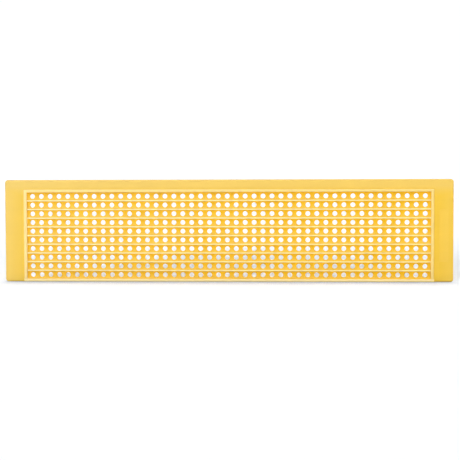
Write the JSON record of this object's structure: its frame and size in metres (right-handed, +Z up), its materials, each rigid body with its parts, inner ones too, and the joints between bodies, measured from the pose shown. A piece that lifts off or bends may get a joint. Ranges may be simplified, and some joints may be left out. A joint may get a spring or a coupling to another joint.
{
  "type": "perforated bee grid",
  "caption": "Long yellow plastic bee grid for a hive entrance: rows of round bee holes between raised cross ribs, inside a raised rim, with plain end tabs and a plain top border.",
  "frame": {"origin": "under the middle of the plate, halfway through its thickness, on the lower edge of the rim that it stands on", "axes": "+X along the length, towards the tab with the blank raised panel; +Y through the thickness, from the front face to the back face; +Z up, from the lower rim bar to the top border"},
  "size_m": [0.43, 0.006, 0.098],
  "materials": {
    "moulded_plastic": "satin moulded"
  },
  "bodies": {
    "root": {"left_end_tab": "moulded_plastic", "right_end_tab": "moulded_plastic", "top_border": "moulded_plastic", "top_rim_bar": "moulded_plastic", "bottom_rim_bar": "moulded_plastic", "left_rim_bar": "moulded_plastic", "right_rim_bar": "moulded_plastic", "cross_rib_1": "moulded_plastic", "cross_rib_2": "moulded_plastic", "cross_rib_3": "moulded_plastic", "cross_rib_4": "moulded_plastic", "cross_rib_5": "moulded_plastic", "cross_rib_6": "moulded_plastic", "cross_rib_7": "moulded_plastic", "cross_rib_8": "moulded_plastic", "cross_rib_9": "moulded_plastic", "hole_row_1": "moulded_plastic", "hole_row_2": "moulded_plastic", "hole_row_3": "moulded_plastic", "hole_row_4": "moulded_plastic", "hole_row_5": "moulded_plastic", "hole_row_6": "moulded_plastic", "hole_row_7": "moulded_plastic", "hole_row_8": "moulded_plastic", "hole_row_9": "moulded_plastic", "hole_row_10": "moulded_plastic"}
  },
  "joints": []
}
